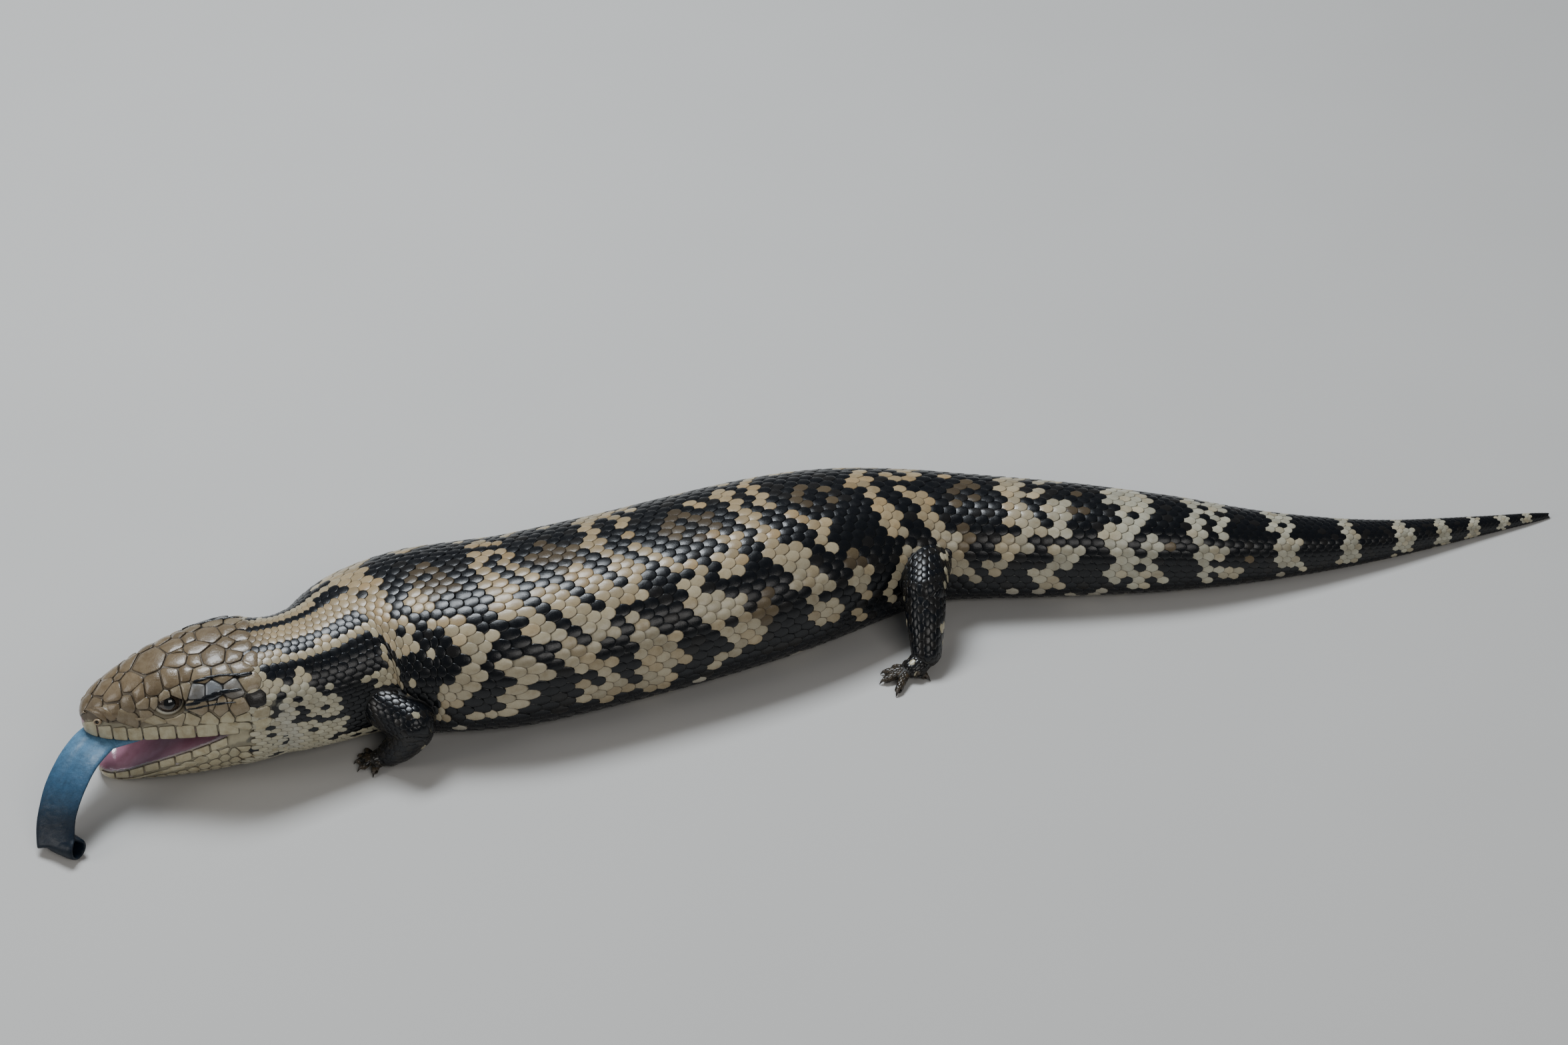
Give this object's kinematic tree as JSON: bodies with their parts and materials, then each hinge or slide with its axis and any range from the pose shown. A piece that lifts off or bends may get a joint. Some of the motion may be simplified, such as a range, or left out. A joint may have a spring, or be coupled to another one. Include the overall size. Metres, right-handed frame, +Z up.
{
  "type": "blue-tongued skink, life-size display model",
  "caption": "Life-size blue-tongued skink lying at rest with a bent neck, open mouth and its broad blue tongue hanging out and rolled at the tip, in pale and black bands.",
  "frame": {"origin": "middle of the bounding box at floor level", "axes": "+X along the animal from its head toward its tail, +Z up, and the animal's left side toward -Y"},
  "size_m": [0.4894, 0.1932, 0.0447],
  "materials": {
    "skin_head": "satin, tan shields with dark seams",
    "skin_throat": "satin, cream",
    "skin_body": "satin scales in cream and black bands",
    "skin_limb": "satin black with pale specks",
    "tongue": "moist, blue",
    "eye": "clear gloss over a dark iris"
  },
  "bodies": {
    "root": {"head": "skin_head", "lower_jaw": "skin_throat", "tongue": "tongue", "eye_left": "eye", "eye_right": "eye", "neck": "skin_body", "trunk_front": "skin_body", "trunk_middle": "skin_body", "trunk_rear": "skin_body", "tail_base": "skin_body", "tail_middle": "skin_body", "tail_rear": "skin_body", "tail_tip": "skin_body", "upper_arm_left": "skin_limb", "forearm_left": "skin_limb", "hand_left": "skin_limb", "upper_arm_right": "skin_limb", "forearm_right": "skin_limb", "hand_right": "skin_limb", "thigh_left": "skin_limb", "shank_left": "skin_limb", "foot_left": "skin_limb", "thigh_right": "skin_limb", "shank_right": "skin_limb", "foot_right": "skin_limb"}
  },
  "joints": []
}
